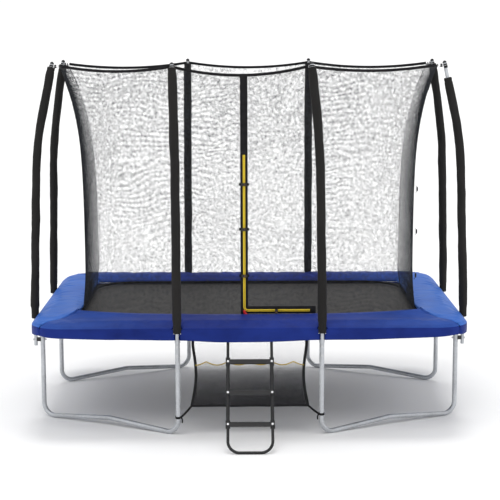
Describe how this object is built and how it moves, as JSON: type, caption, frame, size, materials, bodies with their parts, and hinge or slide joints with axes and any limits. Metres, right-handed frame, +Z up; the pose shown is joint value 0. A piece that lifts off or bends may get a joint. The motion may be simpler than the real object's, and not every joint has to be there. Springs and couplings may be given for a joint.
{
  "type": "trampoline",
  "caption": "Rectangular garden trampoline with spring mat, padded edge, bent steel legs, net enclosure on padded poles, zip door and ladder.",
  "frame": {"origin": "on the ground under the centre of the rectangular steel frame", "axes": "+Z up, +X along the length, -Y towards the door and ladder"},
  "size_m": [3.162, 2.6569, 2.5771],
  "materials": {
    "galvanised_steel": "galvanised, satin",
    "zinc_hardware": "zinc plated",
    "spring_steel": "galvanised wire",
    "black_plastic": "moulded, fine grain",
    "sleeve_fabric": "coated fabric over foam",
    "mat_weave": "woven polypropylene",
    "pad_vinyl": "PVC coated fabric, soft sheen",
    "net_mesh": "knitted mesh",
    "black_webbing": "woven webbing",
    "zip_tape": "woven zip tape",
    "zip_pull": "moulded",
    "black_paint": "powder coat, satin"
  },
  "bodies": {
    "frame": {"clamp_bolts": "zinc_hardware", "corner_rail_back_left": "galvanised_steel", "corner_rail_back_right": "galvanised_steel", "corner_rail_front_left": "galvanised_steel", "corner_rail_front_right": "galvanised_steel", "door_band": "black_webbing", "door_buckles": "black_plastic", "door_zip": "zip_tape", "foam_sleeve_back_left": "sleeve_fabric", "foam_sleeve_back_right": "sleeve_fabric", "foam_sleeve_front_left": "sleeve_fabric", "foam_sleeve_front_right": "sleeve_fabric", "foam_sleeve_left_back": "sleeve_fabric", "foam_sleeve_left_front": "sleeve_fabric", "foam_sleeve_right_back": "sleeve_fabric", "foam_sleeve_right_front": "sleeve_fabric", "leg_back_left": "galvanised_steel", "leg_back_right": "galvanised_steel", "leg_front_left": "galvanised_steel", "leg_front_right": "galvanised_steel", "net_hem": "black_webbing", "net_side_buckles": "black_plastic", "net_straps": "black_webbing", "pad_back": "pad_vinyl", "pad_front": "pad_vinyl", "pad_front_skirt": "pad_vinyl", "pad_left": "pad_vinyl", "pad_right": "pad_vinyl", "pole_back_left": "galvanised_steel", "pole_back_right": "galvanised_steel", "pole_caps": "black_plastic", "pole_clamps": "black_plastic", "pole_front_left": "galvanised_steel", "pole_front_right": "galvanised_steel", "pole_left_back": "galvanised_steel", "pole_left_front": "galvanised_steel", "pole_lower_tubes": "galvanised_steel", "pole_right_back": "galvanised_steel", "pole_right_front": "galvanised_steel", "rail_back": "galvanised_steel", "rail_front": "galvanised_steel", "rail_left": "galvanised_steel", "rail_right": "galvanised_steel", "safety_net": "net_mesh", "springs": "spring_steel", "under_net": "net_mesh", "under_net_ties": "black_webbing"},
    "mat": {"jump_mat": "mat_weave", "mat_rings": "zinc_hardware"},
    "ladder": {"ladder_bolts": "zinc_hardware", "ladder_foot": "black_paint", "ladder_hook_left": "black_paint", "ladder_hook_right": "black_paint", "ladder_middle_left": "black_paint", "ladder_middle_right": "black_paint", "ladder_rung_1": "black_paint", "ladder_rung_2": "black_paint", "ladder_rung_3": "black_paint"},
    "zip_pull": {"zip_slider": "zip_pull"}
  },
  "joints": [
    {"name": "mat_bounce", "type": "slide", "parent": "frame", "child": "mat", "axis": [0, 0, -1], "range_m": [0, 0.18], "stiffness_N_per_m": 4000, "springref_m": -0.02, "deforming": ["springs"]},
    {"name": "ladder_swing", "type": "hinge", "parent": "frame", "child": "ladder", "pos_m": [0, -1.046, 0.741], "axis": [-1, 0, 0], "range_deg": [0, 60], "deforming": ["pad_front_skirt"]},
    {"name": "zip_slide", "type": "slide", "parent": "frame", "child": "zip_pull", "axis": [0, -0.0034, 1], "range_m": [0, 1.08]}
  ]
}
